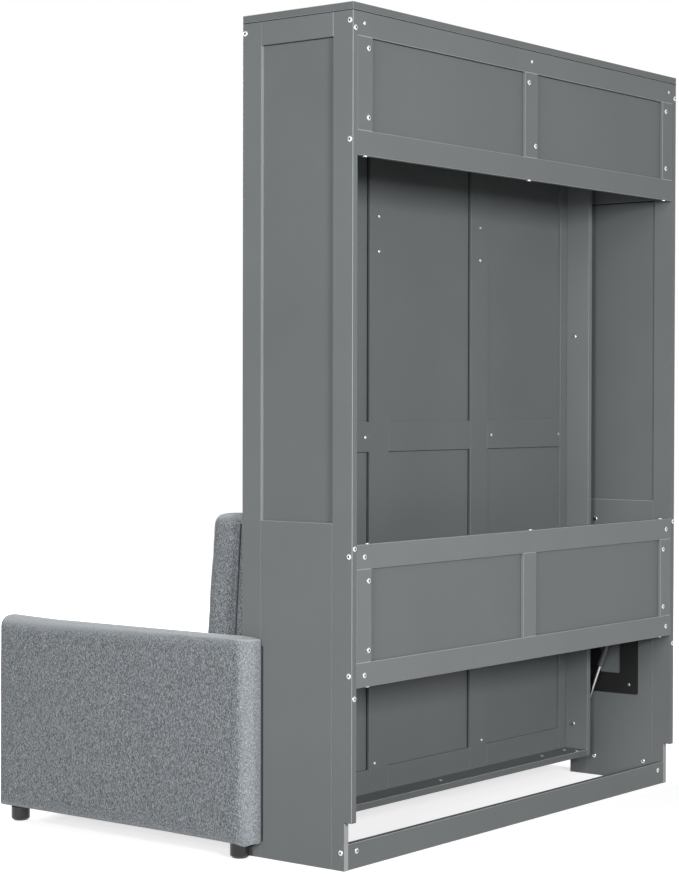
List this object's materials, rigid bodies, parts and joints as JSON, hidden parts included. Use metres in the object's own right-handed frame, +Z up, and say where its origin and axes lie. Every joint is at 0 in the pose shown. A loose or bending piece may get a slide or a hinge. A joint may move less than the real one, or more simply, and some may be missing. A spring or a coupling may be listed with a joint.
{
  "type": "wall bed with sofa",
  "caption": "Tall cabinet that holds an upright bed for a full-size mattress, which swings down on steel pivots and gas struts between the arms of the sofa in front of it.",
  "frame": {"origin": "on the floor, at the middle of the width and of the depth", "axes": "+Z up, +Y to the wall that the cabinet stands against, -Y to the front, where the sofa is, +X to the right as seen from the front"},
  "size_m": [1.6726, 1.157, 2.083],
  "materials": {
    "grey_painted_board": "satin grey paint on board",
    "black_coated_steel": "black powder coat",
    "bright_steel": "polished",
    "grey_woven_fabric": "heather weave",
    "black_plastic": "semi-gloss"
  },
  "bodies": {
    "cabinet": {"rear_stile_left": "grey_painted_board", "rear_stile_right": "grey_painted_board", "front_stile_left": "grey_painted_board", "front_stile_right": "grey_painted_board", "side_top_rail_left": "grey_painted_board", "side_top_rail_right": "grey_painted_board", "side_lower_board_left": "grey_painted_board", "side_lower_board_right": "grey_painted_board", "side_panel_left": "grey_painted_board", "side_panel_right": "grey_painted_board", "top_board": "grey_painted_board", "front_header": "grey_painted_board", "base_rail": "grey_painted_board", "upper_back_frame": "grey_painted_board", "upper_back_panel_left": "grey_painted_board", "upper_back_panel_right": "grey_painted_board", "mid_back_frame": "grey_painted_board", "mid_back_panel_left": "grey_painted_board", "mid_back_panel_right": "grey_painted_board", "lift_plate_left": "black_coated_steel", "lift_plate_right": "black_coated_steel", "pivot_pin_left": "bright_steel", "pivot_pin_right": "bright_steel", "sofa_arm_left": "grey_woven_fabric", "sofa_arm_right": "grey_woven_fabric", "arm_foot_front_left": "black_plastic", "arm_foot_front_right": "black_plastic", "arm_foot_rear_left": "black_plastic", "arm_foot_rear_right": "black_plastic"},
    "bed": {"deck_frame": "grey_painted_board", "deck_panel_lower_left": "grey_painted_board", "deck_panel_lower_centre": "grey_painted_board", "deck_panel_lower_right": "grey_painted_board", "deck_panel_upper_left": "grey_painted_board", "deck_panel_upper_centre": "grey_painted_board", "deck_panel_upper_right": "grey_painted_board", "bed_side_rail_left": "grey_painted_board", "bed_side_rail_right": "grey_painted_board", "bed_end_board_head": "grey_painted_board", "bed_end_board_foot": "grey_painted_board", "bed_bracket_left": "black_coated_steel", "bed_bracket_right": "black_coated_steel", "leg_bracket_left": "black_coated_steel", "leg_bracket_right": "black_coated_steel", "backrest_board": "grey_woven_fabric", "back_cushion_left": "grey_woven_fabric", "back_cushion_right": "grey_woven_fabric"},
    "bed_legs": {"bed_leg_left": "black_coated_steel", "bed_leg_right": "black_coated_steel", "leg_bar": "black_coated_steel"},
    "strut_tube_left": {"strut_tube_left": "black_coated_steel"},
    "strut_tube_right": {"strut_tube_right": "black_coated_steel"},
    "strut_rod_left": {"strut_rod_left": "bright_steel"},
    "strut_rod_right": {"strut_rod_right": "bright_steel"},
    "sofa_bench": {"bench_base": "grey_woven_fabric", "bench_runner_left": "black_plastic", "bench_runner_right": "black_plastic", "seat_cushion_left": "grey_woven_fabric", "seat_cushion_right": "grey_woven_fabric"}
  },
  "joints": [
    {"name": "bed_pivot", "type": "hinge", "parent": "cabinet", "child": "bed", "pos_m": [0, 0.2785, 0.305], "axis": [1, 0, 0], "range_deg": [0, 90], "stiffness_Nm_per_rad": 126, "springref_deg": -48.13},
    {"name": "leg_swing", "type": "hinge", "parent": "bed", "child": "bed_legs", "pos_m": [0, 0.2155, 1.965], "axis": [1, 0, 0], "range_deg": [-90, 0]},
    {"name": "strut_swing_left", "type": "hinge", "parent": "cabinet", "child": "strut_tube_left", "pos_m": [-0.742, 0.4425, 0.58], "axis": [1, 0, 0], "range_deg": [0, 21.66]},
    {"name": "strut_stroke_left", "type": "slide", "parent": "strut_tube_left", "child": "strut_rod_left", "axis": [0, -0.352, -0.936], "range_m": [-0.1965, 0]},
    {"name": "strut_swing_right", "type": "hinge", "parent": "cabinet", "child": "strut_tube_right", "pos_m": [0.742, 0.4425, 0.58], "axis": [1, 0, 0], "range_deg": [0, 21.66]},
    {"name": "strut_stroke_right", "type": "slide", "parent": "strut_tube_right", "child": "strut_rod_right", "axis": [0, -0.352, -0.936], "range_m": [-0.1965, 0]},
    {"name": "bench_slide", "type": "slide", "parent": "cabinet", "child": "sofa_bench", "axis": [0, -1, 0], "range_m": [0, 1.8]}
  ],
  "couplings": [
    {"joint": "leg_swing", "follows": "bed_pivot", "ratio": -1},
    {"joint": "strut_swing_left", "follows": "bed_pivot", "ratio": 0.24048},
    {"joint": "strut_stroke_left", "follows": "bed_pivot", "m_per_rad": -0.12498},
    {"joint": "strut_swing_right", "follows": "bed_pivot", "ratio": 0.24048},
    {"joint": "strut_stroke_right", "follows": "bed_pivot", "m_per_rad": -0.12498},
    {"joint": "bench_slide", "follows": "bed_pivot", "m_per_rad": 1.1459}
  ]
}
